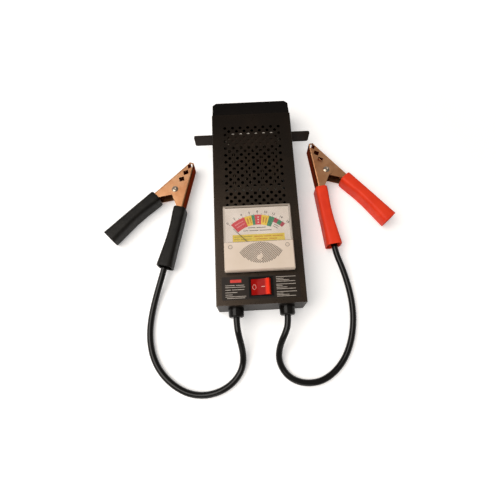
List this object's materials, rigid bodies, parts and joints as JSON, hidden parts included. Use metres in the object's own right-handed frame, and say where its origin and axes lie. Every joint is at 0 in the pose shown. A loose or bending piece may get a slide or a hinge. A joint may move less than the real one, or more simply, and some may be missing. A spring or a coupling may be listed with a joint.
{
  "type": "battery load tester",
  "caption": "Flat perforated steel battery load tester with an analog meter, rocker switch and short cables that end in spring clamps, lying on its back.",
  "frame": {"origin": "middle of the case's back face, on the surface that the tester lies on", "axes": "+X to the right seen from the front, +Y along the case from the cable end to the vented end, +Z out of the front panel"},
  "size_m": [0.41, 0.4149, 0.0627],
  "materials": {
    "case_paint": "satin powder coat",
    "zinc_steel": "bright zinc",
    "spring_steel": "oiled spring wire",
    "ceramic": "unglazed",
    "resistance_alloy": "heat-browned alloy",
    "meter_black": "moulded",
    "clear_lens": "clear moulded",
    "cream_plastic": "moulded",
    "dial_white": "painted",
    "needle_black": "painted",
    "magnet": "ground",
    "copper_wire": "enamelled copper",
    "brass": "turned",
    "label_black": "printed film",
    "switch_black": "moulded",
    "rocker_red": "moulded",
    "gland_black": "moulded nylon",
    "cable_black": "smooth sheath",
    "lead_red": "smooth sheath",
    "copper_plate": "copper-plated steel",
    "grip_black": "soft vinyl",
    "grip_red": "soft vinyl"
  },
  "bodies": {
    "case": {"front_cover": "case_paint", "rear_shell": "case_paint", "case_screws": "zinc_steel", "clamp_rest_bar": "case_paint", "element_bracket": "zinc_steel", "upper_insulator": "ceramic", "lower_insulator": "ceramic", "load_ribbon": "resistance_alloy", "meter_case": "meter_black", "meter_lens": "clear_lens", "meter_mask": "cream_plastic", "meter_screws": "cream_plastic", "meter_dial": "dial_white", "meter_magnet": "magnet", "meter_frame": "brass", "hairspring": "spring_steel", "meter_studs": "brass", "stud_nuts": "brass", "label_plate": "label_black", "switch_housing": "switch_black", "switch_terminals": "brass", "black_gland": "gland_black", "red_gland": "gland_black", "gland_nuts": "gland_black", "gland_cables": "cable_black", "black_cable": "cable_black", "red_cable": "cable_black", "black_lead": "cable_black", "red_lead": "lead_red", "load_lead": "lead_red", "meter_wires": "lead_red", "black_jaw_fixed": "copper_plate", "black_rivet": "zinc_steel", "black_jaw_spring": "spring_steel", "black_grip_fixed": "grip_black", "black_cable_tail": "cable_black", "red_jaw_fixed": "copper_plate", "red_rivet": "zinc_steel", "red_jaw_spring": "spring_steel", "red_grip_fixed": "grip_red", "red_cable_tail": "cable_black"},
    "rocker": {"switch_rocker": "rocker_red", "switch_plunger": "switch_black", "switch_spring": "spring_steel"},
    "contact_lever": {"switch_lever": "brass"},
    "needle": {"meter_pointer": "needle_black", "moving_coil": "copper_wire"},
    "adjuster": {"zero_adjuster": "cream_plastic"},
    "black_free_half": {"black_jaw_moving": "copper_plate", "black_grip_moving": "grip_black"},
    "red_free_half": {"red_jaw_moving": "copper_plate", "red_grip_moving": "grip_red"}
  },
  "joints": [
    {"name": "rocker_tip", "type": "hinge", "parent": "case", "child": "rocker", "pos_m": [0, -0.1315, 0.049], "axis": [0, 1, 0], "range_deg": [0, 24], "stiffness_Nm_per_rad": 0.03, "springref_deg": -17.19},
    {"name": "lever_tip", "type": "hinge", "parent": "case", "child": "contact_lever", "pos_m": [0, -0.1315, 0.036], "axis": [0, 1, 0], "range_deg": [-12, 0]},
    {"name": "needle_swing", "type": "hinge", "parent": "case", "child": "needle", "pos_m": [0, -0.089, 0.0574], "axis": [0, 0, -1], "range_deg": [0, 86], "stiffness_Nm_per_rad": 0.00002, "springref_deg": -2.86, "deforming": ["hairspring"]},
    {"name": "adjuster_turn", "type": "hinge", "parent": "case", "child": "adjuster", "pos_m": [0, -0.096, 0.0616], "axis": [0, 0, 1], "range_deg": [-30, 30]},
    {"name": "black_clamp_open", "type": "hinge", "parent": "case", "child": "black_free_half", "pos_m": [-0.1142, 0.0232, 0.0135], "axis": [0, 0, 1], "range_deg": [0, 33], "stiffness_Nm_per_rad": 1.5, "springref_deg": -20.05, "deforming": ["black_jaw_spring"]},
    {"name": "red_clamp_open", "type": "hinge", "parent": "case", "child": "red_free_half", "pos_m": [0.1064, 0.0436, 0.0135], "axis": [0, 0, -1], "range_deg": [0, 33], "stiffness_Nm_per_rad": 1.5, "springref_deg": -20.05, "deforming": ["red_jaw_spring"]}
  ],
  "couplings": [
    {"joint": "lever_tip", "follows": "rocker_tip", "ratio": -0.5}
  ]
}
